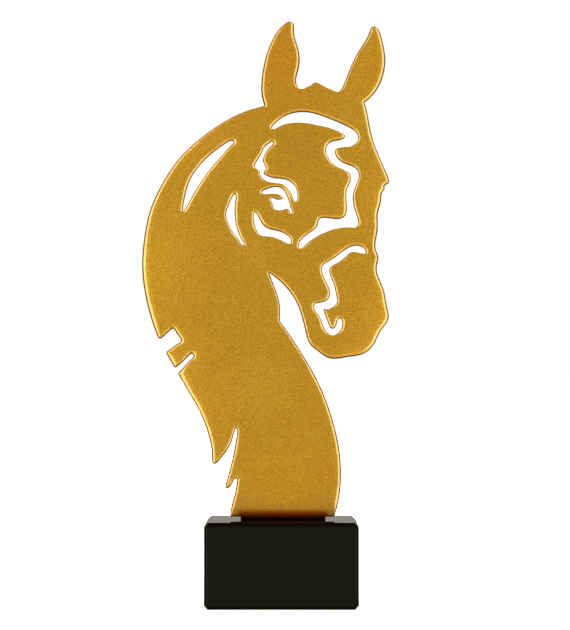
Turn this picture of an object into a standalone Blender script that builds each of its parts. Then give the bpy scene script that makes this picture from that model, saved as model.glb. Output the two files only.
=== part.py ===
"""Horse-head trophy: a gold-painted steel plate cut to a horse's head and neck, standing in a black stone base."""
import math

import bpy
import numpy as np

# Driving sizes in metres
FIGURE_HEIGHT = 0.2135
PLATE_THICKNESS = 0.003
BASE_WIDTH = 0.065
BASE_DEPTH = 0.040
BASE_HEIGHT = 0.0365
TOP_BEVEL = 0.0017
UPRIGHT_BEVEL = 0.0011
TAB_LEFT = -0.0174
TAB_RIGHT = 0.0187
TAB_DEPTH = 0.0085
FOOT_GAP = 0.0012
SLOT_CLEARANCE = 0.0003

# The head is drawn on a grid that divides the figure's height above the base into 500 units:
# u runs right from the base's middle and v up from the base's top
GRID_UNITS = 500
UNIT = FIGURE_HEIGHT / GRID_UNITS
# The edges are rounded as far as the narrowest band of metal, the one over the eye, allows
NARROWEST_BAND = 3.9
EDGE_ROUNDING = 0.48 * NARROWEST_BAND * UNIT

# How finely the outlines are drawn: a new point at each such turn or step
LARGEST_TURN = math.radians(15)
LARGEST_STEP = 14
SMALLEST_STEP = 0.9
SPLINE_STEPS = 16
CORNER_STEPS = 6
# The least share of an outline's step that the flat face's rim keeps beside it
SMALLEST_PROGRESS = 0.04

# Outlines: a pair is a point on a smooth stretch, and a triple is a corner with its rounding radius
NEAR_EAR = [
    (-17, 415.2, 0.8), (-19.6, 424), (-20.1, 438), (-17, 459), (-11.5, 476), (-3, 491), (4, 497.8),
    (9.6, 500), (12.3, 496.5), (12.4, 489), (16.3, 474), (18.2, 461), (16.3, 449), (14.6, 441), (16, 434.6),
]
POLL = [(20, 432.3), (26, 434), (30.3, 436.1), (34.4, 438.8), (41.8, 435.7), (50.9, 431.3), (58, 429.7)]
FAR_EAR = [
    (61.5, 434), (66.5, 446), (75, 465.5), (84, 480), (88.2, 488.6), (91.3, 494.5), (94.6, 495),
    (99.3, 487), (103.4, 470), (103.9, 455), (99, 437.3), (93.5, 428.1), (88, 422), (83.3, 418.5, 0.6),
]
FACE = [
    (86, 408), (90.3, 386), (94.7, 372.2), (104, 350.5), (107.8, 340), (107.2, 337), (104.4, 335.6),
    (103.4, 333.6), (103.5, 331.8), (101.2, 328.3), (99.8, 319), (96.7, 307), (96.6, 292), (94.3, 277),
    (95, 269.5), (97.2, 263.5), (95.6, 253), (98, 241.5), (103, 228.5), (105.9, 213.5), (107.7, 204.5),
]
MOUTH_AND_JAW = [
    (105.8, 197.7), (98.9, 187.8), (94.6, 178.9), (88.5, 170.4), (79.3, 165), (67, 162.9), (54, 161),
    (45.5, 162.5), (37, 168.4), (29.3, 175), (25.8, 182), (23.6, 191), (20.3, 204), (14.6, 218.8),
    (6.5, 230.8), (-2, 239.4), (-13.1, 248.1, 0.5),
]
THROAT_AND_CHEST = [
    (-6.6, 231.6), (-2.2, 217), (-1.6, 206), (-1.8, 199, 1.2), (4.8, 189.8), (18.1, 169.8), (30.1, 150),
    (40.4, 130), (48.1, 110), (54, 90), (58.1, 70), (59.7, 50), (59.1, 30), (56.4, 14),
]
FOOT_LINE = FOOT_GAP / UNIT
TAB_LINE = -TAB_DEPTH / UNIT
FOOT = [
    (52.9, FOOT_LINE, 0.5), (TAB_RIGHT / UNIT, FOOT_LINE, 1.0), (TAB_RIGHT / UNIT, TAB_LINE, 0.8),
    (TAB_LEFT / UNIT, TAB_LINE, 0.8), (TAB_LEFT / UNIT, FOOT_LINE, 1.0), (-51.3, FOOT_LINE, 1.2),
]
LOWER_LOCK = [
    (-50.7, 10), (-48.3, 20), (-45.9, 30), (-44.8, 37), (-44.9, 40.4), (-46, 40.6), (-50, 34.9),
    (-53.6, 31.2), (-55.6, 31.1), (-56.2, 33.3), (-54.5, 40), (-51.9, 50), (-49.4, 60), (-47.2, 70),
    (-45.5, 80), (-44.8, 89.6),
]
UPPER_LOCK = [
    (-45.5, 91.3), (-46.7, 89.2), (-49.4, 80), (-54, 70), (-61, 60.6), (-66.4, 55.5), (-68.6, 55.9),
    (-69.7, 61), (-70.7, 73), (-75, 90), (-83.2, 110), (-93, 127), (-103.9, 146.4, 1.6),
]
BRAID = [
    (-97.6, 153.0), (-90.7, 160.5), (-88.1, 163.6), (-89.2, 165.9), (-91.7, 165.3), (-97.7, 159.5),
    (-102.9, 154.7), (-106.9, 151.6, 1.6), (-116.2, 167.5, 2.6), (-100, 179.1, 2.0), (-108.8, 192.3, 2.2),
    (-122.8, 179.6, 2.4),
]
CREST = [
    (-128, 193), (-134, 213), (-138.2, 234), (-139.8, 257), (-137.8, 282), (-131.9, 310), (-120.7, 335),
    (-104.4, 360), (-84.8, 379.5), (-59.7, 397.7), (-36.9, 409.1),
]
SILHOUETTE = (NEAR_EAR + POLL + FAR_EAR + FACE + MOUTH_AND_JAW + THROAT_AND_CHEST + FOOT
              + LOWER_LOCK + UPPER_LOCK + BRAID + CREST)

FOREHEAD_CUT = [
    (-9.6, 393.6), (-7.4, 396.7), (-2.5, 401), (5, 405.5), (13, 408), (22, 408.8), (33, 407.2),
    (46, 402.9), (60, 397.2), (69, 392.8), (74, 389.4), (76.9, 385), (76.9, 380.5), (74, 376.7),
    (68.5, 374.4), (58.5, 373.2), (54.7, 371), (53.9, 367.8), (56, 362.9), (62, 357.9), (71.5, 354.2),
    (76.3, 350.5), (77.9, 345), (75.4, 336.4), (72.3, 327.5), (72.3, 316), (75.2, 306.4), (77.2, 299.5),
    (76.9, 295.4), (74.5, 293.5), (65, 293.3), (53, 291.1), (41, 286.5), (31, 280.7), (24, 275.1),
    (20.2, 272.1), (17.9, 272.8), (17.4, 276), (20, 280.9), (26, 286.1), (32.5, 290.6), (36.2, 295.6),
    (37.6, 300.6), (40.3, 302.4), (49, 302), (58.5, 301.6), (63, 303.8), (65.2, 309), (65.1, 320),
    (65.3, 330), (68.6, 337.9), (69.5, 343), (67.5, 347.8), (62.2, 351.2), (53.5, 355.6), (47.3, 362),
    (44.4, 369.7), (45.7, 375.1), (50.4, 379), (59, 380.8), (63, 382.9), (63.4, 385.4), (59.5, 388.5),
    (50, 392.5), (36, 396), (19, 398.4), (8, 397.6), (-2, 394.1), (-8, 391.9),
]
MUZZLE_CUT = [
    (40.6, 253.3), (42.9, 256.3), (50.3, 260.7), (58.3, 266.4), (65.4, 271.4), (73, 274.4),
    (79.6, 273.9), (83.8, 270.8), (84.6, 267.3), (82.2, 266.8), (74.5, 268.6), (69.2, 267.4),
    (62.8, 261.9), (57, 257.6), (51.2, 254.4), (48.4, 251.2), (48.5, 246.8), (52.6, 236), (55.3, 224.6),
    (56, 218.4), (53.9, 214.6), (48.5, 211.5), (41.9, 211.4, 1.2), (44.7, 203.1), (47.4, 196),
    (49.2, 192.5), (51.2, 191.2), (53.3, 192.2), (55, 195.3), (56.7, 200.2), (58.4, 201.7), (60.6, 200),
    (61.3, 196), (59.8, 190.4), (56.1, 186.2), (52, 184.8), (47.3, 186.4), (43.3, 190.5), (40.5, 197.8),
    (36.3, 206), (32.6, 211.6), (33, 215.3), (37, 217.2), (43.5, 218.7), (47.5, 222.3), (48.5, 227.9),
    (46, 235.7), (42, 243.9), (40.6, 249.8),
]
MANE_CUT = [
    (-47.9, 378.5), (-49.8, 380), (-56, 377.4), (-70, 367.2), (-83.5, 353.7), (-91.9, 340.5),
    (-96.2, 327.4), (-98.9, 312.4), (-98.5, 309.4), (-96.6, 311.4), (-89.6, 324.2), (-79.5, 340.3),
    (-68.7, 355), (-58.4, 366.4), (-51.1, 374.7),
]
CHEEK_CUT = [
    (-46.8, 326.6), (-45.8, 324.2), (-46.6, 316.5), (-46.9, 308), (-45.8, 297), (-42.3, 285.4),
    (-38.4, 278.2), (-37.2, 275.5), (-39, 275.1), (-42.8, 279.9), (-47.6, 286.2), (-53, 295.6),
    (-55.7, 306.2), (-53.1, 315.4), (-49.2, 324),
]
TEMPLE_CUT = [
    (-9.7, 379.1), (-8, 377.8), (-9.8, 375.3), (-14.7, 369.7), (-18, 363.2), (-18.2, 358.6),
    (-16, 354.7), (-15.5, 352.8), (-17, 349.4), (-17.9, 346.9, 0.5), (-12.8, 344), (-5, 342.1),
    (3.5, 341.3), (10.1, 338.1), (14.4, 333), (16.2, 326), (15.7, 320.3), (14.3, 318.5), (12.6, 319.6),
    (10.3, 325.5), (6.5, 331.6), (1.7, 336.1), (-4, 337.5), (-12.4, 338.8), (-19, 342.2), (-21.6, 346.2),
    (-22.5, 350), (-26.3, 353.1), (-27, 355.3), (-23.3, 361.8), (-20, 368), (-17.2, 373.3), (-12.4, 377.5),
]
EYE_CUT = [
    (-19.6, 328.3), (-18.2, 326.7), (-10.5, 327), (-4, 326.5), (0, 324.8), (1.2, 323), (0.2, 321.6),
    (-5.5, 321.4), (-9.6, 322.8), (-11, 321.2), (-10, 318.5), (-8.8, 315.5), (-7.9, 312.4), (-3.5, 310.4),
    (3, 311.1), (6.2, 311.6), (7.8, 310), (9, 307.1), (10.9, 307.4), (10.1, 311), (7.9, 318),
    (5.2, 325.6), (0.8, 331.6), (-5, 333.7), (-12.4, 332.2),
]
CHEEKBONE_CUT = [
    (-26.5, 308.2), (-27.8, 306.2), (-27.7, 298.4), (-25.2, 290), (-20, 285), (-10.5, 284), (-4, 282),
    (3.5, 278.3), (9, 276.9), (9.9, 279.6), (6.8, 284.4), (-1, 288.6), (-10.5, 290.9), (-17, 294.1),
    (-21.6, 300.6), (-25.2, 307.3),
]
CUTS = [FOREHEAD_CUT, MUZZLE_CUT, MANE_CUT, CHEEK_CUT, TEMPLE_CUT, EYE_CUT, CHEEKBONE_CUT]


def length(vector):
    return float(np.linalg.norm(vector))


def turn_between(first, second):
    """Angle between two directions."""
    cosine = float(np.dot(first, second)) / (length(first) * length(second))
    return math.acos(max(-1.0, min(1.0, cosine)))


def spline_through(points, closed):
    """Smooth cubic spline through the points, as a fine polyline.

    The spline's parameter grows with the gap between points to the power 0.7, and a closed one repeats
    three points past each end, so that its seam is as smooth as the rest."""
    points = np.array([point[:2] for point in points], float)
    overlap = 3 if closed else 0
    if closed:
        points = np.vstack([points[-overlap:], points, points[:overlap + 1]])
    gaps = np.linalg.norm(np.diff(points, axis=0), axis=1) ** 0.7
    count = len(points)
    system = np.eye(count)
    right_side = np.zeros((count, 2))
    for i in range(1, count - 1):
        before, after = gaps[i - 1], gaps[i]
        system[i, i - 1:i + 2] = before, 2 * (before + after), after
        right_side[i] = 6 * ((points[i + 1] - points[i]) / after - (points[i] - points[i - 1]) / before)
    bends = np.linalg.solve(system, right_side)
    line = []
    for i in range(overlap, count - 1 - overlap):
        gap = gaps[i]
        for share in np.arange(SPLINE_STEPS) / SPLINE_STEPS:
            done = share * gap
            left = gap - done
            line.append((bends[i] * left ** 3 + bends[i + 1] * done ** 3) / (6 * gap)
                        + (points[i] / gap - bends[i] * gap / 6) * left
                        + (points[i + 1] / gap - bends[i + 1] * gap / 6) * done)
    if not closed:
        line.append(points[-1])
    return np.array(line)


def shortened(line, cut_length):
    """The polyline without its last stretch of that length."""
    wanted = sum(length(step) for step in np.diff(line, axis=0)) - cut_length
    walked = 0.0
    for i in range(len(line) - 1):
        step = length(line[i + 1] - line[i])
        if walked + step >= wanted:
            end = line[i] + (line[i + 1] - line[i]) * (wanted - walked) / step
            return np.vstack([line[:i + 1], end])
        walked += step
    return line


def rounded_corner(before, after, turn, radius):
    """Points of an arc that joins the end of one stretch to the start of the next."""
    arrive = (before[-1] - before[-2]) / length(before[-1] - before[-2])
    leave = (after[1] - after[0]) / length(after[1] - after[0])
    handle = 4 / 3 * math.tan(turn / 4) * radius
    cage = [before[-1], before[-1] + arrive * handle, after[0] - leave * handle, after[0]]
    arc = []
    for share in np.arange(1, CORNER_STEPS) / CORNER_STEPS:
        rest = 1 - share
        arc.append(cage[0] * rest ** 3 + 3 * cage[1] * rest ** 2 * share
                   + 3 * cage[2] * rest * share ** 2 + cage[3] * share ** 3)
    return arc


def fine_outline(points):
    """Closed polyline through the points of an outline, with each of its corners rounded."""
    corners = [i for i, point in enumerate(points) if len(point) == 3]
    if not corners:
        return spline_through(points, closed=True)
    points = points[corners[0]:] + points[:corners[0] + 1]
    corners = [i for i, point in enumerate(points) if len(point) == 3]
    radii = [points[i][2] for i in corners[:-1]]
    stretches = [spline_through(points[a:b + 1], closed=False) for a, b in zip(corners, corners[1:])]
    count = len(stretches)
    turns = [turn_between(stretches[i - 1][-1] - stretches[i - 1][-2], stretches[i][1] - stretches[i][0])
             for i in range(count)]
    cuts = [radius * math.tan(turn / 2) for radius, turn in zip(radii, turns)]
    for i in range(count):
        stretches[i] = shortened(stretches[i], cuts[(i + 1) % count])
        stretches[i] = shortened(stretches[i][::-1], cuts[i])[::-1]
    outline = []
    for i in range(count):
        outline.extend(rounded_corner(stretches[i - 1], stretches[i], turns[i], radii[i]))
        outline.extend(stretches[i])
    return np.array(outline)


def thinned(line):
    """The closed polyline with points only where it has turned or run on far enough."""
    kept = [line[0]]
    turned = 0.0
    for i in range(1, len(line)):
        following = line[(i + 1) % len(line)] - line[i]
        turned += turn_between(line[i] - line[i - 1], following)
        walked = length(line[i] - kept[-1])
        far_from_start = length(line[i] - line[0]) >= SMALLEST_STEP
        if walked >= SMALLEST_STEP and far_from_start and (turned >= LARGEST_TURN or walked >= LARGEST_STEP):
            kept.append(line[i])
            turned = 0.0
    return kept


def inset_line(outline, side):
    """Where the flat face's rim runs beside a closed outline; side is 1 for material on the left, -1 for right."""
    ahead = np.roll(outline, -1, axis=0) - outline
    ahead /= np.linalg.norm(ahead, axis=1)[:, None]
    normals = side * np.stack([-ahead[:, 1], ahead[:, 0]], axis=1)
    earlier = np.roll(normals, 1, axis=0)
    mitre = (earlier + normals) / (1 + np.sum(earlier * normals, axis=1))[:, None]
    return outline + mitre * EDGE_ROUNDING / UNIT


def eased(outline, encloses_material):
    """The outline with neighbouring points joined where the rounded edge would fold back on a narrow tip."""
    outline = np.array(outline)
    following = np.roll(outline, -1, axis=0)
    area = np.sum(outline[:, 0] * following[:, 1] - following[:, 0] * outline[:, 1]) / 2
    side = 1 if (area > 0) == encloses_material else -1
    while True:
        steps = np.roll(outline, -1, axis=0) - outline
        rim = inset_line(outline, side)
        rim_steps = np.roll(rim, -1, axis=0) - rim
        progress = np.sum(steps * rim_steps, axis=1) / np.sum(steps * steps, axis=1)
        worst = int(np.argmin(progress))
        if progress[worst] > SMALLEST_PROGRESS:
            return outline
        joined = (worst + 1) % len(outline)
        outline[worst] = (outline[worst] + outline[joined]) / 2
        outline = np.delete(outline, joined, axis=0)


def material(name, colour, metallic, roughness):
    """A Principled surface with plain values."""
    surface = bpy.data.materials.new(name)
    surface.use_nodes = True
    shader = surface.node_tree.nodes["Principled BSDF"]
    shader.inputs["Base Color"].default_value = (*colour, 1)
    shader.inputs["Metallic"].default_value = metallic
    shader.inputs["Roughness"].default_value = roughness
    return surface


def add_box(name, size, centre, home):
    """A box of the given size round its centre, with its scale applied."""
    bpy.ops.mesh.primitive_cube_add(size=1, location=centre)
    box = bpy.context.object
    box.name = name
    box.scale = size
    bpy.ops.object.transform_apply(location=False, rotation=False, scale=True)
    for owner in list(box.users_collection):
        owner.objects.unlink(box)
    home.objects.link(box)
    return box


def make_plate(home):
    """The head as a flat cut plate with rounded edges, its foot's tab sunk in the base."""
    curve = bpy.data.curves.new("horse_plate", "CURVE")
    curve.dimensions = "2D"
    curve.fill_mode = "BOTH"
    for points in [SILHOUETTE] + CUTS:
        outline = eased(thinned(fine_outline(points)), encloses_material=points is SILHOUETTE)
        spline = curve.splines.new("POLY")
        spline.points.add(len(outline) - 1)
        for place, (u, v) in zip(spline.points, outline):
            place.co = (u * UNIT, v * UNIT, 0, 1)
        spline.use_cyclic_u = True
    curve.bevel_depth = EDGE_ROUNDING
    curve.bevel_resolution = 1
    curve.offset = -EDGE_ROUNDING
    curve.extrude = PLATE_THICKNESS / 2 - EDGE_ROUNDING
    plate = bpy.data.objects.new("horse_plate", curve)
    plate.location = (0, 0, BASE_HEIGHT)
    plate.rotation_euler = (math.pi / 2, 0, 0)
    curve.materials.append(material("gold_paint", (0.51, 0.26, 0.017), 0.8, 0.35))
    home.objects.link(plate)


def make_base(home, tools):
    """The stone block with its ground edges and the slot that holds the plate's tab."""
    base = add_box("base", (BASE_WIDTH, BASE_DEPTH, BASE_HEIGHT), (0, 0, BASE_HEIGHT / 2), home)
    weights = base.data.attributes.new("bevel_weight_edge", "FLOAT", "EDGE")
    for edge in base.data.edges:
        ends = [base.data.vertices[i].co for i in edge.vertices]
        upright = abs(ends[0].z - ends[1].z) > BASE_HEIGHT / 2
        weights.data[edge.index].value = UPRIGHT_BEVEL / TOP_BEVEL if upright else 1.0
    bevel = base.modifiers.new("ground edges", "BEVEL")
    bevel.limit_method = "WEIGHT"
    bevel.width = TOP_BEVEL
    bevel.segments = 1

    slot_left = TAB_LEFT - SLOT_CLEARANCE
    slot_right = TAB_RIGHT + SLOT_CLEARANCE
    slot_bottom = BASE_HEIGHT - TAB_DEPTH - SLOT_CLEARANCE
    slot_top = BASE_HEIGHT + TOP_BEVEL
    slot_size = (slot_right - slot_left, PLATE_THICKNESS + 2 * SLOT_CLEARANCE, slot_top - slot_bottom)
    slot_centre = ((slot_left + slot_right) / 2, 0, (slot_bottom + slot_top) / 2)
    cutter = add_box("slot_cutter", slot_size, slot_centre, tools)
    cutter.hide_render = True
    cutter.display_type = "WIRE"
    slot = base.modifiers.new("slot", "BOOLEAN")
    slot.operation = "DIFFERENCE"
    slot.object = cutter
    base.data.materials.append(material("black_stone", (0.010, 0.010, 0.008), 0.0, 0.08))


for old in list(bpy.data.objects):
    bpy.data.objects.remove(old)
trophy = bpy.data.collections.new("equestrian_trophy")
cutters = bpy.data.collections.new("cutters")
for folder in (trophy, cutters):
    bpy.context.scene.collection.children.link(folder)
make_plate(trophy)
make_base(trophy, cutters)
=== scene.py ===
import math

import bmesh
import bpy
import numpy as np
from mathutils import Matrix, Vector
from mathutils.geometry import delaunay_2d_cdt


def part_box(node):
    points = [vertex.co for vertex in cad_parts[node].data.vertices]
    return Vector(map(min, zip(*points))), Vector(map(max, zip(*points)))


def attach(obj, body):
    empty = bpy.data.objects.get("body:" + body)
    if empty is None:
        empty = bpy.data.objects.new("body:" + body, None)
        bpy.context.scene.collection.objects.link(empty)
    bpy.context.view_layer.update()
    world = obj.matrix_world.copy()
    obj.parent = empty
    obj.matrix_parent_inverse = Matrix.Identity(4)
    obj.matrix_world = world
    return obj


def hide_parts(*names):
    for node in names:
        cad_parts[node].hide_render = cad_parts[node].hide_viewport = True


# Equestrian trophy: a gold-painted horse's head cut from plate, standing in a black polished block.
# Metres, +Z up, front towards -Y.

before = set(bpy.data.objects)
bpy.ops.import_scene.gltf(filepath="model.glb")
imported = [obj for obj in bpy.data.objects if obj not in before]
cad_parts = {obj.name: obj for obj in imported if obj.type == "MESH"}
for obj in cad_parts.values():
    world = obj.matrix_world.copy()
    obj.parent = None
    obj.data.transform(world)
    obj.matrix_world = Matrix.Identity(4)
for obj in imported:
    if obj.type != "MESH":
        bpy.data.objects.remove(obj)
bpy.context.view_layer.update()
blockLow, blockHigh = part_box("base")
blockTop = blockHigh.z
print("frame loaded: block top at %.1f mm" % (blockTop * 1000))

# The horse plate
plate = dict(
    figureHeight=0.2135,     # above the block
    thickness=0.003,
    rimWidth=0.001,          # width of the edges' rounding where the rim size is 0
    rimSpread=0.5,           # the share of that width added for each size
    wideFrom=2,              # and the share added as well for each size above this one
    wideSpread=0.8,
    rimSteepness=(0.07, 0.33),   # depth over width of the rounding: at size 0, and more for each size
    deepestRim=0.00148,      # the most that it goes back, with the drop at the very edge
    rimFocus=5,              # how near a rim place, in drawing units, its own size holds
    rimRows=11,
    swellRows=6,
    roundedShare=0.8,        # at most this share of the width of an edge's rows is its rounding's
    paintFilm=0.00006,       # how far the paint stands out past the cut metal
    edgeDrop=0.0005,         # how much further the paint falls back over the outermost stretch
    dropPower=1.5,
    edgeReach=0.00032,       # how wide that stretch is at the cut-outs
    outlineReach=0.00052,    # and round the outline
    swell=0.00005,           # how far the paint stands up beside an edge
    swellReach=0.0042,       # how far in from the edge that ends
    swellStart=25,           # how far above the foot, in drawing units, the swell has its full height
    tabLeft=-0.0174,
    tabRight=0.0187,
    tabDepth=0.0085,
    footGap=0.0012,
    largestTurn=math.radians(7),   # between two neighbouring points of an outline
    largestStep=3.2,         # the same, in drawing units
    innerShare=0.9,          # how near the rows of faces from two facing edges come to each other
)

# The drawing's unit. A point is (u, v): u to the right from the block's middle, v up from its top.
unit = plate["figureHeight"] / 500

# A pair is a point on a smooth stretch, a triple is a corner with its rounding radius.
nearEar = [
    (-17, 415.2, 0.8), (-19.6, 424), (-20.1, 438), (-17, 459), (-11.5, 476), (-3, 491), (4, 497.8),
    (9.6, 500), (12.3, 496.5), (12.4, 489), (16.3, 474), (18.2, 461), (16.3, 449), (14.6, 441), (16, 434.6),
]
poll = [(20, 432.3), (26, 434), (30.3, 436.1), (34.4, 438.8), (41.8, 435.7), (50.9, 431.3), (58, 429.7)]
farEar = [
    (61.5, 434), (66.5, 446), (75, 465.5), (84, 480), (88.2, 488.6), (91.3, 494.5), (94.6, 495),
    (99.3, 487), (103.4, 470), (103.9, 455), (99, 437.3), (93.5, 428.1), (88, 422), (83.3, 418.5, 0.6),
]
face = [
    (86, 408), (90.3, 386), (94.7, 372.2), (104, 350.5), (107.8, 340), (107.2, 337), (104.4, 335.6),
    (103.4, 333.6), (103.5, 331.8), (101.2, 328.3), (99.8, 319), (96.7, 307), (96.6, 292), (94.3, 277),
    (95, 269.5), (97.2, 263.5), (95.6, 253), (98, 241.5), (103, 228.5), (105.9, 213.5), (107.7, 204.5),
]
mouthAndJaw = [
    (105.8, 197.7), (98.9, 187.8), (94.6, 178.9), (88.5, 170.4), (79.3, 165), (67, 162.9), (54, 161),
    (45.5, 162.5), (37, 168.4), (29.3, 175), (25.8, 182), (23.6, 191), (20.3, 204), (14.6, 218.8),
    (6.5, 230.8), (-2, 239.4), (-13.1, 248.1, 0.5),
]
throatAndChest = [
    (-6.6, 231.6), (-2.2, 217), (-1.6, 206), (-1.8, 199, 1.2), (4.8, 189.8), (18.1, 169.8), (30.1, 150),
    (40.4, 130), (48.1, 110), (54, 90), (58.1, 70), (59.7, 50), (59.1, 30), (56.4, 14),
]
tabLeft = plate["tabLeft"] / unit
tabRight = plate["tabRight"] / unit
footLine = plate["footGap"] / unit
tabLine = -plate["tabDepth"] / unit
foot = [
    (52.9, footLine, 0.5), (tabRight, footLine, 1.0), (tabRight, tabLine, 0.8),
    (tabLeft, tabLine, 0.8), (tabLeft, footLine, 1.0), (-51.3, footLine, 1.2),
]
lowerLock = [
    (-50.7, 10), (-48.3, 20), (-45.9, 30), (-44.8, 37), (-44.9, 40.4), (-46, 40.6), (-50, 34.9),
    (-53.6, 31.2), (-55.6, 31.1), (-56.2, 33.3), (-54.5, 40), (-51.9, 50), (-49.4, 60), (-47.2, 70),
    (-45.5, 80), (-44.8, 89.6),
]
upperLock = [
    (-45.5, 91.3), (-46.7, 89.2), (-49.4, 80), (-54, 70), (-61, 60.6), (-66.4, 55.5), (-68.6, 55.9),
    (-69.7, 61), (-70.7, 73), (-75, 90), (-83.2, 110), (-93, 127), (-103.9, 146.4, 1.6),
]
braid = [
    (-97.6, 153.0), (-90.7, 160.5), (-88.1, 163.6), (-89.2, 165.9), (-91.7, 165.3), (-97.7, 159.5),
    (-102.9, 154.7), (-106.9, 151.6, 1.6), (-116.2, 167.5, 2.6), (-100, 179.1, 2.0), (-108.8, 192.3, 2.2),
    (-122.8, 179.6, 2.4),
]
crest = [
    (-128, 193), (-134, 213), (-138.2, 234), (-139.8, 257), (-137.8, 282), (-131.9, 310), (-120.7, 335),
    (-104.4, 360), (-84.8, 379.5), (-59.7, 397.7), (-36.9, 409.1),
]
silhouette = (nearEar + poll + farEar + face + mouthAndJaw + throatAndChest + foot
              + lowerLock + upperLock + braid + crest)

foreheadCut = [
    (-9.6, 393.6), (-7.4, 396.7), (-2.5, 401), (5, 405.5), (13, 408), (22, 408.8), (33, 407.2),
    (46, 402.9), (60, 397.2), (69, 392.8), (74, 389.4), (76.9, 385), (76.9, 380.5), (74, 376.7),
    (68.5, 374.4), (58.5, 373.2), (54.7, 371), (53.9, 367.8), (56, 362.9), (62, 357.9), (71.5, 354.2),
    (76.3, 350.5), (77.9, 345), (75.4, 336.4), (72.3, 327.5), (72.3, 316), (75.2, 306.4), (77.2, 299.5),
    (76.9, 295.4), (74.5, 293.5), (65, 293.3), (53, 291.1), (41, 286.5), (31, 280.7), (24, 275.1),
    (20.2, 272.1), (17.9, 272.8), (17.4, 276), (20, 280.9), (26, 286.1), (32.5, 290.6), (36.2, 295.6),
    (37.6, 300.6), (40.3, 302.4), (49, 302), (58.5, 301.6), (63, 303.8), (65.2, 309), (65.1, 320),
    (65.3, 330), (68.6, 337.9), (69.5, 343), (67.5, 347.8), (62.2, 351.2), (53.5, 355.6), (47.3, 362),
    (44.4, 369.7), (45.7, 375.1), (50.4, 379), (59, 380.8), (63, 382.9), (63.4, 385.4), (59.5, 388.5),
    (50, 392.5), (36, 396), (19, 398.4), (8, 397.6), (-2, 394.1), (-8, 391.9),
]
muzzleCut = [
    (40.6, 253.3), (42.9, 256.3), (50.3, 260.7), (58.3, 266.4), (65.4, 271.4), (73, 274.4),
    (79.6, 273.9), (83.8, 270.8), (84.6, 267.3), (82.2, 266.8), (74.5, 268.6), (69.2, 267.4),
    (62.8, 261.9), (57, 257.6), (51.2, 254.4), (48.4, 251.2), (48.5, 246.8), (52.6, 236), (55.3, 224.6),
    (56, 218.4), (53.9, 214.6), (48.5, 211.5), (41.9, 211.4, 1.2), (44.7, 203.1), (47.4, 196),
    (49.2, 192.5), (51.2, 191.2), (53.3, 192.2), (55, 195.3), (56.7, 200.2), (58.4, 201.7), (60.6, 200),
    (61.3, 196), (59.8, 190.4), (56.1, 186.2), (52, 184.8), (47.3, 186.4), (43.3, 190.5), (40.5, 197.8),
    (36.3, 206), (32.6, 211.6), (33, 215.3), (37, 217.2), (43.5, 218.7), (47.5, 222.3), (48.5, 227.9),
    (46, 235.7), (42, 243.9), (40.6, 249.8),
]
maneCut = [
    (-47.9, 378.5), (-49.8, 380), (-56, 377.4), (-70, 367.2), (-83.5, 353.7), (-91.9, 340.5),
    (-96.2, 327.4), (-98.9, 312.4), (-98.5, 309.4), (-96.6, 311.4), (-89.6, 324.2), (-79.5, 340.3),
    (-68.7, 355), (-58.4, 366.4), (-51.1, 374.7),
]
cheekCut = [
    (-46.8, 326.6), (-45.8, 324.2), (-46.6, 316.5), (-46.9, 308), (-45.8, 297), (-42.3, 285.4),
    (-38.4, 278.2), (-37.2, 275.5), (-39, 275.1), (-42.8, 279.9), (-47.6, 286.2), (-53, 295.6),
    (-55.7, 306.2), (-53.1, 315.4), (-49.2, 324),
]
templeCut = [
    (-9.7, 379.1), (-8, 377.8), (-9.8, 375.3), (-14.7, 369.7), (-18, 363.2), (-18.2, 358.6),
    (-16, 354.7), (-15.5, 352.8), (-17, 349.4), (-17.9, 346.9, 0.5), (-12.8, 344), (-5, 342.1),
    (3.5, 341.3), (10.1, 338.1), (14.4, 333), (16.2, 326), (15.7, 320.3), (14.3, 318.5), (12.6, 319.6),
    (10.3, 325.5), (6.5, 331.6), (1.7, 336.1), (-4, 337.5), (-12.4, 338.8), (-19, 342.2), (-21.6, 346.2),
    (-22.5, 350), (-26.3, 353.1), (-27, 355.3), (-23.3, 361.8), (-20, 368), (-17.2, 373.3), (-12.4, 377.5),
]
eyeCut = [
    (-19.6, 328.3), (-18.2, 326.7), (-10.5, 327), (-4, 326.5), (0, 324.8), (1.2, 323), (0.2, 321.6),
    (-5.5, 321.4), (-9.6, 322.8), (-11, 321.2), (-10, 318.5), (-8.8, 315.5), (-7.9, 312.4), (-3.5, 310.4),
    (3, 311.1), (6.2, 311.6), (7.8, 310), (9, 307.1), (10.9, 307.4), (10.1, 311), (7.9, 318),
    (5.2, 325.6), (0.8, 331.6), (-5, 333.7), (-12.4, 332.2),
]
cheekboneCut = [
    (-26.5, 308.2), (-27.8, 306.2), (-27.7, 298.4), (-25.2, 290), (-20, 285), (-10.5, 284), (-4, 282),
    (3.5, 278.3), (9, 276.9), (9.9, 279.6), (6.8, 284.4), (-1, 288.6), (-10.5, 290.9), (-17, 294.1),
    (-21.6, 300.6), (-25.2, 307.3),
]
cuts = [foreheadCut, muzzleCut, maneCut, cheekCut, templeCut, eyeCut, cheekboneCut]

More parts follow.
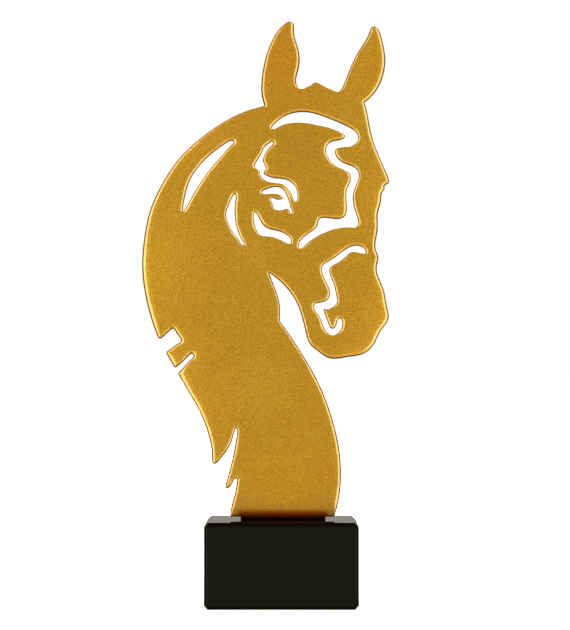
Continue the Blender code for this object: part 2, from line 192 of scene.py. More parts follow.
# How large the rounding is at places (u, v) along the edges; between them it eases from one to the next.
rimPlaces = [
    # round the outline, clockwise from the near ear
    (-21, 425, 1.80), (-20, 451, 1.60), (-12, 476, 1.35), (4, 499, 1.20), (13, 488, 1.80),
    (17, 456, 1.80), (21, 433, 1.10), (57, 430, 1.00), (66, 447, 0.90), (74, 465, 1.10),
    (88, 488, 1.50), (96, 494, 1.90), (103, 461, 1.80), (97, 436, 2.00), (85, 421, 1.45),
    (89, 391, 1.60), (98, 364, 1.30), (106, 346, 1.45), (101, 329, 2.00), (97, 309, 2.00),
    (96, 289, 1.80), (95, 265, 1.65), (97, 240, 1.80), (106, 212, 2.00), (102, 193, 2.30),
    (92, 176, 2.30), (76, 165, 2.00), (56, 162, 1.80), (38, 168, 1.60), (24, 192, 1.25),
    (14, 221, 1.25), (1, 237, 1.45), (-13, 245, 1.10), (-6, 227, 0.75), (2, 198, 0.90), (22, 165, 0.95),
    (37, 138, 1.45), (49, 108, 1.60), (58, 70, 2.00), (59, 42, 1.90), (58, 22, 2.30),
    (49, 3, -0.15), (44, 3, -0.15), (-42, 3, -0.15), (-47, 3, -0.15), (-50, 16, 1.45),
    (-46, 35, 1.25), (-53, 49, 1.25), (-46, 84, 1.10), (-52, 76, 1.45), (-63, 60, 1.60),
    (-71, 69, 2.00), (-78, 97, 2.15), (-92, 124, 2.50), (-102, 142, 2.50), (-95, 157, 0.75),
    (-96, 164, 1.60), (-110, 157, 2.30), (-110, 173, 1.25), (-105, 187, 1.60), (-120, 183, 1.45),
    (-132, 202, 2.50), (-138, 230, 2.30), (-139, 260, 2.20), (-138, 285, 2.00), (-131, 314, 2.00),
    (-118, 341, 1.60), (-101, 366, 1.60), (-71, 392, 1.10), (-36, 411, 1.20),
    # round the forehead cut
    (-7, 399, 1.25), (19, 409, 1.60), (44, 404, 1.80), (64, 396, 1.70), (73, 391, 1.25),
    (77, 382, 0.90), (56, 371, 1.00), (57, 363, 1.45), (69, 355, 1.50), (76, 346, 0.80),
    (72, 326, 0.95), (75, 305, 1.10), (59, 292, 1.00), (34, 283, 1.00), (20, 274, 1.00),
    (22, 283, 1.25), (37, 298, 1.40), (52, 302, 1.80), (65, 315, 1.45), (67, 335, 1.30),
    (64, 351, 1.20), (47, 363, 1.00), (44, 370, 1.10), (50, 380, 1.45), (62, 383, 1.60),
    (19, 399, 1.00),
    # round the muzzle cut
    (44, 206, 1.10), (48, 195, 1.40), (55, 197, 1.40), (61, 198, 1.25), (49, 186, 1.00),
    (37, 204, 0.85), (39, 219, 1.25), (47, 228, 1.10), (42, 250, 1.10), (52, 262, 1.25),
    (64, 270, 1.45), (77, 274, 1.60), (83, 270, 1.25), (64, 263, 1.00), (48, 251, 0.80),
    (53, 232, 1.10), (55, 216, 0.90),
    # round the cuts in the mane, the cheek, the temple, the eye and the cheekbone
    (-57, 378, 1.60), (-77, 363, 1.40), (-89, 348, 1.25), (-95, 333, 1.60), (-99, 313, 1.25),
    (-92, 323, 1.20), (-80, 343, 1.20), (-57, 371, 1.00), (-48, 309, 1.30), (-43, 286, 1.10),
    (-39, 276, 0.80), (-53, 295, 0.80), (-55, 310, 0.90), (-48, 327, 1.25), (-8, 344, 1.60),
    (10, 339, 1.25), (16, 329, 0.60), (4, 334, 1.00), (-23, 347, 0.80), (-28, 357, 1.25),
    (-24, 365, 1.25), (-15, 377, 1.45), (-18, 366, 0.80), (-17, 355, 1.10), (-10, 318, 0.70),
    (1, 310, 0.80), (9, 315, 0.60), (4, 327, 1.20), (-12, 334, 1.25), (-29, 303, 0.90),
    (-20, 285, 0.80), (6, 277, 0.90), (7, 284, 0.90), (-4, 289, 1.60), (-16, 293, 1.60),
    (-23, 302, 1.40),
]


def splineThrough(points, closed):
    # natural cubic spline, its parameter = distance between points ^ power;
    # a closed one repeats three points past each end so that the seam is smooth
    power, samples = 0.7, 24
    p = np.array([q[:2] for q in points], float)
    extra = 3 if closed else 0
    if closed:
        p = np.vstack([p[-extra:], p, p[:extra + 1]])
    gap = np.linalg.norm(np.diff(p, axis=0), axis=1) ** power
    n = len(p)
    system = np.eye(n)
    inner = np.arange(1, n - 1)
    system[inner, inner - 1] = gap[:-1]
    system[inner, inner] = 2 * (gap[:-1] + gap[1:])
    system[inner, inner + 1] = gap[1:]
    rhs = np.zeros((n, 2))
    slope = np.diff(p, axis=0) / gap[:, None]
    rhs[1:-1] = 6 * np.diff(slope, axis=0)
    bend = np.linalg.solve(system, rhs)
    i = np.arange(extra, n - 1 - extra)[:, None]
    t = np.arange(samples) / samples * gap[i]
    r = gap[i] - t
    h = gap[i][..., None]
    t, r = t[..., None], r[..., None]
    line = ((bend[i] * r ** 3 + bend[i + 1] * t ** 3) / (6 * h)
            + (p[i] / h - bend[i] * h / 6) * r + (p[i + 1] / h - bend[i + 1] * h / 6) * t)
    line = line.reshape(-1, 2)
    return line if closed else np.vstack([line, p[-1]])


def walked(line):
    # length along a polyline at each of its points
    return np.concatenate([[0], np.cumsum(np.linalg.norm(np.diff(line, axis=0), axis=1))])


def between(line, start, end):
    # the stretch of a polyline between two lengths along it
    s = walked(line)
    keep = (s > start) & (s < end)
    ends = [np.array([np.interp(at, s, line[:, 0]), np.interp(at, s, line[:, 1])]) for at in (start, end)]
    return np.vstack([ends[0], line[keep], ends[1]])


def cornerArc(a, arrive, b, leave, turn, radius):
    # Bezier arc from a to b, handles 4/3 tan(turn / 4) of the radius
    steps = 12
    handle = 4 / 3 * math.tan(turn / 4) * radius
    t = (np.arange(1, steps) / steps)[:, None]
    r = 1 - t
    return (a * r ** 3 + 3 * (a + arrive * handle) * r ** 2 * t
            + 3 * (b - leave * handle) * r * t ** 2 + b * t ** 3)


def outlineOf(points):
    # closed fine polyline: splines between the corners, and an arc at each corner
    corners = [i for i, q in enumerate(points) if len(q) == 3]
    if not corners:
        return splineThrough(points, True)
    points = points[corners[0]:] + points[:corners[0] + 1]
    corners = [i for i, q in enumerate(points) if len(q) == 3]
    radii = [points[i][2] for i in corners[:-1]]
    runs = [splineThrough(points[a:b + 1], False) for a, b in zip(corners, corners[1:])]
    n = len(runs)
    leave = [(run[1] - run[0]) / np.linalg.norm(run[1] - run[0]) for run in runs]
    arrive = [(run[-1] - run[-2]) / np.linalg.norm(run[-1] - run[-2]) for run in runs]
    turn = [math.acos(max(-1, min(1, float(arrive[i - 1] @ leave[i])))) for i in range(n)]
    cut = [r * math.tan(a / 2) for r, a in zip(radii, turn)]
    runs = [between(run, cut[i], walked(run)[-1] - cut[(i + 1) % n]) for i, run in enumerate(runs)]
    out = []
    for i in range(n):
        out.append(cornerArc(runs[i - 1][-1], arrive[i - 1], runs[i][0], leave[i], turn[i], radii[i]))
        out.append(runs[i])
    return np.vstack(out)


def evened(line, largestTurn, largestStep):
    # new points at equal steps of (length / largestStep + turn / largestTurn) along the closed line
    ring = np.vstack([line, line[:1]])
    step = np.diff(ring, axis=0)
    size = np.linalg.norm(step, axis=1)
    ring = np.vstack([ring[:-1][size > 1e-6], ring[:1]])
    step = np.diff(ring, axis=0)
    size = np.linalg.norm(step, axis=1)
    heading = np.arctan2(step[:, 1], step[:, 0])
    turn = np.abs((np.diff(np.append(heading, heading[0])) + math.pi) % (2 * math.pi) - math.pi)
    turn = (turn + np.roll(turn, 1)) / 2
    measure = np.concatenate([[0], np.cumsum(size / largestStep + turn / largestTurn)])
    count = math.ceil(measure[-1])
    at = np.arange(count) * measure[-1] / count
    return np.stack([np.interp(at, measure, ring[:, 0]), np.interp(at, measure, ring[:, 1])], axis=1)


def inwards(line, holdsMetal):
    # unit normals at the points of a closed line, towards the metal
    ahead = np.roll(line, -1, axis=0) - line
    ahead /= np.linalg.norm(ahead, axis=1)[:, None]
    area = np.sum(line[:, 0] * np.roll(line[:, 1], -1) - np.roll(line[:, 0], -1) * line[:, 1])
    side = 1 if (area > 0) == holdsMetal else -1
    normal = side * np.stack([-ahead[:, 1], ahead[:, 0]], axis=1)
    normal = normal + np.roll(normal, 1, axis=0)
    return normal / np.linalg.norm(normal, axis=1)[:, None], side


def roomBeside(points, normals):
    # radius of the largest circle that touches each point from the metal's side and holds no other point:
    # the least of |v|^2 / (2 v.n) over the gaps v to the other points
    v = points[None, :, :] - points[:, None, :]
    along = np.einsum("ijk,ik->ij", v, normals)
    square = np.sum(v * v, axis=2)
    radius = np.where(along > 1e-6, square / (2 * np.maximum(along, 1e-6)), 1e9)
    np.fill_diagonal(radius, 1e9)
    return radius.min(axis=1)


def insideOf(spots, a, b):
    # True where a line to the right of a spot crosses the closed lines' edges a-b an odd number of times
    x, z = spots[:, :1], spots[:, 1:]
    spans = (a[:, 1] > z) != (b[:, 1] > z)
    rise = np.where(np.abs(b[:, 1] - a[:, 1]) < 1e-12, 1e-12, b[:, 1] - a[:, 1])
    crossing = a[:, 0] + (z - a[:, 1]) * (b[:, 0] - a[:, 0]) / rise
    return np.sum(spans & (crossing > x), axis=1) % 2 == 1


def rimSizes(points):
    # mean of the places' sizes, weighted by 1 / (distance^2 + rimFocus^2)^3
    places = np.array(rimPlaces)
    apart = points[:, None, :] - places[None, :, :2]
    weight = 1 / (np.sum(apart * apart, axis=2) + plate["rimFocus"] ** 2) ** 3
    return (weight @ places[:, 2]) / weight.sum(axis=1)


def buildPlate():
    lines, normals, sides = [], [], []
    for points in [silhouette] + cuts:
        line = evened(outlineOf(points), plate["largestTurn"], plate["largestStep"])
        normal, side = inwards(line, points is silhouette)
        lines.append(line * unit - normal * plate["paintFilm"])
        normals.append(normal)
        sides.append(side)
    sizes = [len(line) for line in lines]
    starts = np.concatenate([[0], np.cumsum(sizes)])[:-1]
    p, n = np.vstack(lines), np.vstack(normals)
    room = roomBeside(p, n)

    # width of each point's rounding = rimWidth (1 + rimSpread size + wideSpread max(size - wideFrom, 0));
    # a small rounding is flatter than a large one, so that its shine reaches the very edge
    size = rimSizes(p / unit)
    beyond = np.maximum(size - plate["wideFrom"], 0)
    wide = plate["rimWidth"] * (1 + plate["rimSpread"] * size + plate["wideSpread"] * beyond)
    least, growth = plate["rimSteepness"]
    deep = np.minimum(wide * (least + growth * size), plate["deepestRim"] - plate["edgeDrop"])

    # how far in from the edge each row of faces lies: the rounding's rows, which follow equal angles,
    # and then the swell's rows
    width = np.minimum(plate["swellReach"], plate["innerShare"] * room)
    turned = np.minimum(wide, plate["roundedShare"] * width)
    angle = np.linspace(0, math.pi / 2, plate["rimRows"])[:, None]
    onward = np.linspace(0, 1, plate["swellRows"] + 1)[1:, None]
    depth = np.vstack([turned * (1 - np.cos(angle)), turned + (width - turned) * onward])

    # height of the front face over the plate's middle: a quarter ellipse near the edge, and past it
    # a low wave, sin^2, that ends where this point's rows end
    inEdge = np.clip(1 - depth / wide, 0, 1)
    wave = np.clip((depth - wide) / np.maximum(width - wide, 1e-6), 0, 1)
    tall = np.clip((width - wide) / (plate["swellReach"] - wide), 0, 1)
    tall = tall * np.clip(p[:, 1] / (plate["swellStart"] * unit), 0, 1)
    reach = np.where(np.arange(len(p)) < sizes[0], plate["outlineReach"], plate["edgeReach"])
    outermost = np.clip(1 - depth / reach, 0, 1)
    height = (plate["thickness"] / 2 - deep + deep * np.sqrt(1 - inEdge ** 2)
              - plate["edgeDrop"] * outermost ** plate["dropPower"]
              + plate["swell"] * tall * np.sin(math.pi * wave) ** 2)

    flat = p[None] + n[None] * depth[..., None]
    count, rowCount = len(p), len(depth)
    front = np.stack([flat[..., 0], -height, flat[..., 1] + blockTop], axis=2).reshape(-1, 3)
    back = front * np.array([1, -1, 1])
    verts = np.vstack([front, back])

    here = np.arange(count)
    after = np.concatenate([np.roll(np.arange(s, s + k), -1) for s, k in zip(starts, sizes)])
    flip = np.repeat(np.array(sides) > 0, sizes)
    a, b = np.where(flip, here, after), np.where(flip, after, here)
    row = (np.arange(rowCount - 1) * count)[:, None]
    frontQuads = np.stack([row + a, row + b, row + count + b, row + count + a], axis=2).reshape(-1, 4)
    backStart = rowCount * count
    backQuads = frontQuads[:, ::-1] + backStart
    wall = np.stack([b, a, a + backStart, b + backStart], axis=1)

    # the flat face inside the last rows
    rim = flat[-1]
    edges = np.stack([here, after], axis=1)
    out = delaunay_2d_cdt([Vector(q) for q in rim], edges.tolist(), [], 1, 1e-9)
    if len(out[0]) != count:
        print("flat face has %d extra points" % (len(out[0]) - count))
    first = np.array([ids[0] if ids else -1 for ids in out[3]])
    tris = first[np.array(out[2])]
    tris = tris[(tris >= 0).all(axis=1)]
    tris = tris[insideOf(rim[tris].mean(axis=1), rim[here], rim[after])]
    wrongWay = np.cross(rim[tris[:, 1]] - rim[tris[:, 0]], rim[tris[:, 2]] - rim[tris[:, 0]]) < 0
    tris[wrongWay] = tris[wrongWay][:, ::-1]
    frontCap = tris + (rowCount - 1) * count
    backCap = frontCap[:, ::-1] + backStart

    faces = [face for part in (frontQuads, backQuads, wall, frontCap, backCap) for face in part.tolist()]
    mesh = bpy.data.meshes.new("horsePlateFine")
    mesh.from_pydata(verts.tolist(), [], faces)
    mesh.validate()
    mesh.shade_smooth()
    piece = bpy.data.objects.new("horsePlateFine", mesh)
    bpy.context.collection.objects.link(piece)
    print("horse plate: %d outline points, %d faces" % (count, len(faces)))
    return piece


# Materials
# In a colour mix node, input 0 is the share, 6 and 7 are the two colours, and output 2 is the mix.
# In a map range node, inputs 1 to 4 are from least, from most, to least and to most.
def nodeMaker(owner):
    # empties a material's or a world's node tree; add makes a node with its settings and input values
    owner.use_nodes = True
    tree = owner.node_tree
    tree.nodes.clear()

    def add(kind, **values):
        node = tree.nodes.new(kind)
        for key, value in values.items():
            if hasattr(node, key):
                setattr(node, key, value)
            else:
                node.inputs[key.replace("_", " ")].default_value = value
        return node

    return add, tree.links.new


def fillRamp(ramp, stops):
    # stops are (place from 0 to 1, red, green, blue)
    while len(ramp.elements) < len(stops):
        ramp.elements.new(0.5)
    for element, (at, *colour) in zip(ramp.elements, stops):
        element.position = at
        element.color = (*colour, 1)


gold = dict(
    colour=(0.474, 0.2712, 0.022),
    darkFlake=(0.2835, 0.1036, 0.0),
    roughness=0.36,
    flake=0.00026,           # size of a flake's glint
    flakeShare=0.95,         # how far the flakes turn the colour to the dark one
    flakeTilt=0.02,
    cloudShare=0.2,          # how far the broad clouds do
    cloudScale=22.0,
    cloudDetail=2.0,
    coat=1.0,
    coatRoughness=0.08,
    coatIor=1.66,
    # footShade and the tones below are painted shade: the colour darkens to black where the plate meets the
    # block, for the shade at that joint
    footShade=0.0051,        # height of the dark fade above the block
    footSides=(0.0031, 0.00031),   # how far past the tab's sides it ends, and how far it is full
    footGloss=0.6,           # share of the fade's height below which the paint has no clear coat
    footShadeTones=[              # share of the way up, and what the colour is multiplied by
        (0.07, 0.0, 0.0, 0.0), (0.14, 0.05, 0.009, 0.0), (0.30, 0.19, 0.050, 0.0),
        (0.45, 0.36, 0.145, 0.005), (0.58, 0.56, 0.28, 0.01), (0.72, 0.80, 0.56, 0.30),
        (0.88, 0.95, 0.87, 0.75), (1.0, 1.0, 1.0, 1.0),
    ],
    # painted light and shade: where the plate is lighter or darker over a broad area from how the light
    # fell on it;
    # middle (u, v) and reach in drawing units, and the gain of red, green and blue there
    broadLightAndShade=[
        (-140, 257, 90, (0.23, 0.24, 0.60)),      # crest
        (-100, 400, 70, (0.22, 0.15, 0.40)),
        (-110, 140, 75, (0.18, 0.20, 0.60)),      # mane locks
        (-75, 100, 45, (0.08, 0.09, 0.20)),
        (-22, 135, 50, (0.08, 0.13, 0.70)),       # middle of the neck
        (120, 195, 70, (0.30, 0.28, 1.00)),       # muzzle
        (75, 150, 35, (0.32, 0.34, 1.00)),
        (115, 325, 48, (0.23, 0.18, 0.40)),       # bridge of the nose
        (-28, 270, 30, (0.04, 0.10, 0.50)),       # round the eye
        (20, 372, 45, (-0.06, -0.08, -0.10)),     # forehead
        (0, 460, 90, (0.05, -0.09, -0.55)),       # near ear
        (95, 455, 50, (0.09, 0.00, -0.20)),       # far ear
        (2, 22, 60, (0.09, 0.03, -0.70)),         # foot
    ],
)


def goldPaint():
    material = bpy.data.materials.new("gold_paint")
    add, link = nodeMaker(material)
    where = add("ShaderNodeTexCoord").outputs["Object"]
    flakes = add("ShaderNodeTexVoronoi", Scale=1 / gold["flake"])
    link(where, flakes.inputs["Vector"])
    glint = add("ShaderNodeSeparateColor")
    link(flakes.outputs["Color"], glint.inputs[0])
    clouds = add("ShaderNodeTexNoise", Scale=gold["cloudScale"], Detail=gold["cloudDetail"])
    link(where, clouds.inputs["Vector"])

    # share of the dark flake colour = flakes * flakeShare + clouds * cloudShare
    fromFlakes = add("ShaderNodeMath", operation="MULTIPLY")
    fromFlakes.inputs[1].default_value = gold["flakeShare"]
    link(glint.outputs[0], fromFlakes.inputs[0])
    darkness = add("ShaderNodeMath", operation="MULTIPLY_ADD")
    darkness.inputs[1].default_value = gold["cloudShare"]
    link(clouds.outputs[0], darkness.inputs[0])
    link(fromFlakes.outputs[0], darkness.inputs[2])
    colour = add("ShaderNodeMix", data_type="RGBA")
    colour.inputs[6].default_value = (*gold["colour"], 1)
    colour.inputs[7].default_value = (*gold["darkFlake"], 1)
    link(darkness.outputs[0], colour.inputs[0])

    # painted broad light and shade: colour times (1 + gain * share), share easing from 1 at the middle to 0
    # at the reach
    level = add("ShaderNodeVectorMath", operation="MULTIPLY")
    level.inputs[1].default_value = (1, 0, 1)
    link(where, level.inputs[0])
    painted = colour.outputs[2]
    for u, v, reach, gains in gold["broadLightAndShade"]:
        apart = add("ShaderNodeVectorMath", operation="DISTANCE")
        apart.inputs[1].default_value = (u * unit, 0, v * unit + blockTop)
        link(level.outputs[0], apart.inputs[0])
        share = add("ShaderNodeMapRange", interpolation_type="SMOOTHSTEP")
        share.inputs[1].default_value = reach * unit
        share.inputs[2].default_value = 0
        link(apart.outputs["Value"], share.inputs[0])
        lightAndShade = add("ShaderNodeMix", data_type="RGBA", blend_type="MULTIPLY")
        lightAndShade.inputs[7].default_value = (*[1 + gain for gain in gains], 1)
        link(share.outputs[0], lightAndShade.inputs[0])
        link(painted, lightAndShade.inputs[6])
        painted = lightAndShade.outputs[2]

    # painted shade: the colour turns deep brown and then black where the tab goes down into the block, for
    # the shade at that joint;
    # the tone follows (z - block's top) / footShade, in full between the tab's sides and less past them
    place = add("ShaderNodeSeparateXYZ")
    link(where, place.inputs[0])
    rise = add("ShaderNodeMapRange")
    rise.inputs[1].default_value = blockTop
    rise.inputs[2].default_value = blockTop + gold["footShade"]
    link(place.outputs[2], rise.inputs[0])
    fade = add("ShaderNodeValToRGB")
    fillRamp(fade.color_ramp, gold["footShadeTones"])
    link(rise.outputs[0], fade.inputs[0])
    sideways = []
    ends, full = gold["footSides"]
    for edge, sign in ((plate["tabLeft"], 1), (plate["tabRight"], -1)):
        near = add("ShaderNodeMapRange")
        near.inputs[1].default_value = edge - sign * ends
        near.inputs[2].default_value = edge - sign * full
        link(place.outputs[0], near.inputs[0])
        sideways.append(near.outputs[0])
    within = add("ShaderNodeMath", operation="MULTIPLY")
    link(sideways[0], within.inputs[0])
    link(sideways[1], within.inputs[1])
    shaded = add("ShaderNodeMix", data_type="RGBA", blend_type="MULTIPLY")
    link(within.outputs[0], shaded.inputs[0])
    link(painted, shaded.inputs[6])
    link(fade.outputs[0], shaded.inputs[7])
    # and the clear coat is taken away there, so that the painted shade has no shine
    clear = add("ShaderNodeMapRange")
    clear.inputs[1].default_value = gold["footGloss"]
    clear.inputs[4].default_value = gold["coat"]
    link(rise.outputs[0], clear.inputs[0])
    gloss = add("ShaderNodeMix", data_type="FLOAT")
    gloss.inputs[2].default_value = gold["coat"]
    link(within.outputs[0], gloss.inputs[0])
    link(clear.outputs[0], gloss.inputs[3])

    bump = add("ShaderNodeBump", Strength=gold["flakeTilt"], Distance=gold["flake"])
    link(glint.outputs[1], bump.inputs["Height"])
    surface = add("ShaderNodeBsdfPrincipled", Metallic=1.0, Roughness=gold["roughness"])
    link(gloss.outputs[0], surface.inputs["Coat Weight"])
    surface.inputs["Coat Roughness"].default_value = gold["coatRoughness"]
    surface.inputs["Coat IOR"].default_value = gold["coatIor"]
    link(shaded.outputs[2], surface.inputs["Base Color"])
    link(bump.outputs[0], surface.inputs["Normal"])
    output = add("ShaderNodeOutputMaterial")
    link(surface.outputs[0], output.inputs[0])
    return material


stone = dict(
    colour=(0.0003, 0.0004, 0.0003),
    fleck=(0.0020, 0.0018, 0.0015),
    fleckScale=1400.0,
    fleckDetail=3.0,
    roughness=0.014,
    smoothest=0.7,           # shares of the roughness that the smudges range between
    roughest=1.5,
    smudgeScale=60.0,
    smudgeDetail=4.0,
    ior=1.205,
)


def blackStone():
    material = bpy.data.materials.new("black_stone")
    add, link = nodeMaker(material)
    where = add("ShaderNodeTexCoord").outputs["Object"]
    flecks = add("ShaderNodeTexNoise", Scale=stone["fleckScale"], Detail=stone["fleckDetail"])
    link(where, flecks.inputs["Vector"])
    smudge = add("ShaderNodeTexNoise", Scale=stone["smudgeScale"], Detail=stone["smudgeDetail"])
    link(where, smudge.inputs["Vector"])
    colour = add("ShaderNodeMix", data_type="RGBA")
    colour.inputs[6].default_value = (*stone["colour"], 1)
    colour.inputs[7].default_value = (*stone["fleck"], 1)
    link(flecks.outputs[0], colour.inputs[0])
    rough = add("ShaderNodeMapRange")
    rough.inputs[3].default_value = stone["roughness"] * stone["smoothest"]
    rough.inputs[4].default_value = stone["roughness"] * stone["roughest"]
    link(smudge.outputs[0], rough.inputs[0])
    surface = add("ShaderNodeBsdfPrincipled", IOR=stone["ior"])
    link(colour.outputs[2], surface.inputs["Base Color"])
    link(rough.outputs[0], surface.inputs["Roughness"])
    output = add("ShaderNodeOutputMaterial")
    link(surface.outputs[0], output.inputs[0])
    return material


horse = buildPlate()
horse.data.materials.append(goldPaint())
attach(horse, "root")
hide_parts("horse_plate")

# The block
block = dict(
    arris=0.0002,            # width of the softened edges between the ground faces
    topShare=0.3,            # the same round the top, as a share of it
    arrisSteps=3,
    sameHeight=0.0001,       # what counts as being at the top
    merge=1e-5,
    flatTurn=math.radians(1),   # faces that turn less than this are one ground face
)


def buildBlock():
    # the solid block, merged to whole faces, with each arris between its ground faces slightly softened;
    # an edge's weight is its share of the arris width
    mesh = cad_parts["base"].data.copy()
    mesh.materials.clear()
    bm = bmesh.new()
    bm.from_mesh(mesh)
    bmesh.ops.remove_doubles(bm, verts=bm.verts, dist=block["merge"])
    bmesh.ops.dissolve_limit(bm, angle_limit=block["flatTurn"], verts=bm.verts, edges=bm.edges)
    bmesh.ops.recalc_face_normals(bm, faces=bm.faces)
    weight = bm.edges.layers.float.new("bevel_weight_edge")
    for edge in bm.edges:
        onTop = all(vert.co.z > blockTop - block["sameHeight"] for vert in edge.verts)
        edge[weight] = block["topShare"] if onTop else 1.0
    for face in bm.faces:
        face.smooth = False
    bm.to_mesh(mesh)
    bm.free()
    piece = bpy.data.objects.new("blockFine", mesh)
    bpy.context.collection.objects.link(piece)
    arris = piece.modifiers.new("arris", "BEVEL")
    arris.limit_method = "WEIGHT"
    arris.width = block["arris"]
    arris.segments = block["arrisSteps"]
    print("block: %d faces before its arrises" % len(mesh.polygons))
    return piece


baseBlock = buildBlock()
baseBlock.data.materials.append(blackStone())
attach(baseBlock, "root")
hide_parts("base")

# Floor, light and camera
# Stops are (direction component from -1 to 1, value), for what the object reflects from that direction.
studio = dict(
    frontLight=0.785,        # radiance that the plate's flat face reflects
    frontTint=(1.0, 0.905, 0.245),
    backTint=(1.0, 0.93, 0.79),
    acrossStops=[(-0.985, 0.05), (-0.93, 0.3), (-0.52, 1), (0.52, 1), (0.93, 0.3), (0.985, 0.05)],
    levelStops=[
        (-0.93, 0.05), (-0.82, 2.2), (-0.35, 2.2), (-0.13, 1.0), (0.4, 1.2), (0.96, 1.4), (0.985, 0.06),
    ],
    depthStops=[(-1.0, 1.0), (0.6, 0.95), (0.9, 0.62), (1.0, 0.6)],
    # where the front has the back's tint: from the sides on, and at some levels
    backStops=[(-0.3, 0.0), (0.1, 1.0)],
    whiteStrip=[(-0.8, 0.8), (-0.5, 0.0), (-0.17, 0.0), (-0.145, 0.8), (-0.095, 0.8), (-0.083, 0.0)],
    # the dark places: behind the object, low and to the left, and straight behind it, below the horizon
    behindStops=[(0.1, 0.0), (0.3, 1.0), (0.93, 1.0), (0.97, 0.0)],
    lowLeft=(-0.2, 0, -0.8),
    lowLeftShare=0.55,
    farStops=[(0.85, 0.0), (0.95, 1.0)],
    belowStops=[(-0.07, 1.0), (-0.01, 0.0)],
    edgeShadow=0.08,         # light that is left where it is darkest
    sideLight=3.65,          # radiance of the two soft boxes in front, and of the one behind
    sideTint=(0.86, 1.0, 1.0),
    sideAngle=41,            # how far they stand from the line of sight
    sideDistance=1.3,
    sideWidth=0.85,
    sideHeight=1.6,
    sideMiddle=0.30,         # height of their middle
    backPlace=(0.25, 0.9, 1.1),
    backSize=0.9,
    floorLight=4.2,
    floorLightSpread=math.radians(150),
    floorSize=8.0,           # from its middle to a side
    floorColour=(0.93, 0.93, 0.93, 1),
)


def makeFloor():
    mesh = bpy.data.meshes.new("floor")
    far = studio["floorSize"]
    mesh.from_pydata([(-far, -far, 0), (far, -far, 0), (far, far, 0), (-far, far, 0)], [], [(0, 1, 2, 3)])
    floor = bpy.data.objects.new("floor", mesh)
    bpy.context.collection.objects.link(floor)
    pale = bpy.data.materials.new("pale_floor")
    add, link = nodeMaker(pale)
    surface = add("ShaderNodeBsdfDiffuse", Color=studio["floorColour"])
    output = add("ShaderNodeOutputMaterial")
    link(surface.outputs[0], output.inputs[0])
    mesh.materials.append(pale)
    floor.visible_glossy = False
    floor.visible_shadow = False


def softBox(name, place, width, height):
    # an area light of the side light's radiance, towards the object: power = radiance * pi * area
    data = bpy.data.lights.new(name, "AREA")
    data.shape = "RECTANGLE"
    data.size = width
    data.size_y = height
    data.energy = studio["sideLight"] * math.pi * width * height
    data.color = studio["sideTint"]
    lamp = bpy.data.objects.new(name, data)
    lamp.location = place
    towards = Vector((0, 0, studio["sideMiddle"])) - Vector(place)
    lamp.rotation_euler = towards.to_track_quat("-Z", "Y").to_euler()
    bpy.context.collection.objects.link(lamp)


def makeLights():
    azimuth = math.radians(studio["sideAngle"])
    across = studio["sideDistance"] * math.sin(azimuth)
    ahead = studio["sideDistance"] * math.cos(azimuth)
    for side, name in ((-1, "leftBox"), (1, "rightBox")):
        place = (side * across, -ahead, studio["sideMiddle"])
        softBox(name, place, studio["sideWidth"], studio["sideHeight"])
    softBox("backBox", studio["backPlace"], studio["backSize"], studio["backSize"])
    overhead = bpy.data.lights.new("overhead", "SUN")
    overhead.energy = studio["floorLight"]
    overhead.angle = studio["floorLightSpread"]
    sky = bpy.data.objects.new("overhead", overhead)
    sky.visible_glossy = False
    bpy.context.collection.objects.link(sky)


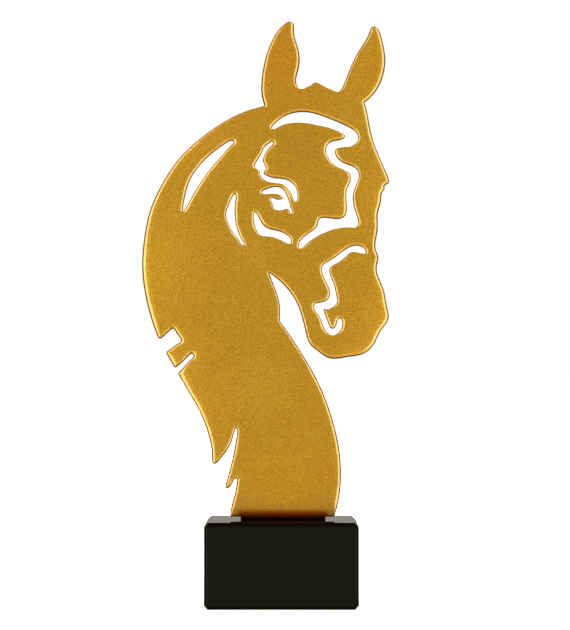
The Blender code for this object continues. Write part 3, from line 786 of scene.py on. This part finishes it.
def makeWorld():
    # what the object reflects: soft light from the front that fades to the sides, overhead and below;
    # to the camera itself the room is plain white
    world = bpy.data.worlds.new("studio")
    bpy.context.scene.world = world
    add, link = nodeMaker(world)
    direction = add("ShaderNodeTexCoord")
    axes = add("ShaderNodeSeparateXYZ")
    link(direction.outputs["Generated"], axes.inputs[0])

    def stepped(source, stops):
        # smooth curve through the stops
        place = add("ShaderNodeMapRange")
        place.inputs[1].default_value = -1
        link(source, place.inputs[0])
        node = add("ShaderNodeValToRGB")
        link(place.outputs[0], node.inputs[0])
        node.color_ramp.interpolation = "EASE"
        fillRamp(node.color_ramp, [((at + 1) / 2, value, value, value) for at, value in stops])
        return node.outputs[0]

    def joined(operation, first, second):
        # a sum on two values, each a socket or a number
        node = add("ShaderNodeMath", operation=operation)
        for socket, value in zip(node.inputs, (first, second)):
            if isinstance(value, float):
                socket.default_value = value
            else:
                link(value, socket)
        return node.outputs[0]

    acrossX, alongY, upZ = axes.outputs
    belt = stepped(acrossX, studio["acrossStops"])
    level = stepped(upZ, studio["levelStops"])
    depthwise = stepped(alongY, studio["depthStops"])

    # dark share = the larger of behind * (lowLeftShare + lowLeft . direction) and far * below
    lowLeft = add("ShaderNodeVectorMath", operation="DOT_PRODUCT")
    lowLeft.inputs[1].default_value = studio["lowLeft"]
    link(direction.outputs["Generated"], lowLeft.inputs[0])
    share = add("ShaderNodeMath", operation="ADD", use_clamp=True)
    share.inputs[1].default_value = studio["lowLeftShare"]
    link(lowLeft.outputs["Value"], share.inputs[0])
    behind = joined("MULTIPLY", stepped(alongY, studio["behindStops"]), share.outputs[0])
    under = joined("MULTIPLY", stepped(alongY, studio["farStops"]), stepped(upZ, studio["belowStops"]))
    lost = joined("MULTIPLY", joined("MAXIMUM", behind, under), 1.0 - studio["edgeShadow"])
    kept = joined("SUBTRACT", 1.0, lost)

    # amount = belt * level * depthwise * kept * frontLight
    lit = joined("MULTIPLY", joined("MULTIPLY", belt, level), joined("MULTIPLY", depthwise, kept))
    amount = joined("MULTIPLY", lit, studio["frontLight"])
    tint = add("ShaderNodeMix", data_type="RGBA")
    tint.inputs[6].default_value = (*studio["frontTint"], 1)
    tint.inputs[7].default_value = (*studio["backTint"], 1)
    paler = joined("MAXIMUM", stepped(alongY, studio["backStops"]), stepped(upZ, studio["whiteStrip"]))
    link(paler, tint.inputs[0])
    reflected = add("ShaderNodeBackground")
    link(tint.outputs[2], reflected.inputs[0])
    link(amount, reflected.inputs[1])
    white = add("ShaderNodeBackground", Color=(1, 1, 1, 1))
    rays = add("ShaderNodeLightPath")
    mix = add("ShaderNodeMixShader")
    link(rays.outputs["Is Camera Ray"], mix.inputs[0])
    link(reflected.outputs[0], mix.inputs[1])
    link(white.outputs[0], mix.inputs[2])
    output = add("ShaderNodeOutputWorld")
    link(mix.outputs[0], output.inputs[0])


view = dict(
    distance=0.800,          # from the block's face to the camera
    height=0.106,
    aside=0.0015,
    filmWidth=36,            # millimetres for the whole frame
    focalPixels=1912,        # focal length, in pixels of a frame that is frameHeight tall
    horizonDrop=42,          # how far the horizon lies below the middle, in the same pixels
    frameHeight=630,
    nearest=0.01,
)


def makeCamera():
    # level camera in front of the block's face; the shift puts the horizon below the picture's middle
    data = bpy.data.cameras.new("camera")
    data.sensor_width = view["filmWidth"]
    data.lens = view["filmWidth"] * view["focalPixels"] / view["frameHeight"]
    data.shift_y = view["horizonDrop"] / view["frameHeight"]
    data.clip_start = view["nearest"]
    camera = bpy.data.objects.new("camera", data)
    camera.location = (view["aside"], blockLow.y - view["distance"], view["height"])
    camera.rotation_euler = (math.pi / 2, 0, 0)
    bpy.context.collection.objects.link(camera)
    bpy.context.scene.camera = camera


makeFloor()
makeLights()
makeWorld()
makeCamera()
scene = bpy.context.scene
scene.view_settings.view_transform = "Standard"
scene.view_settings.look = "None"
print("studio made")
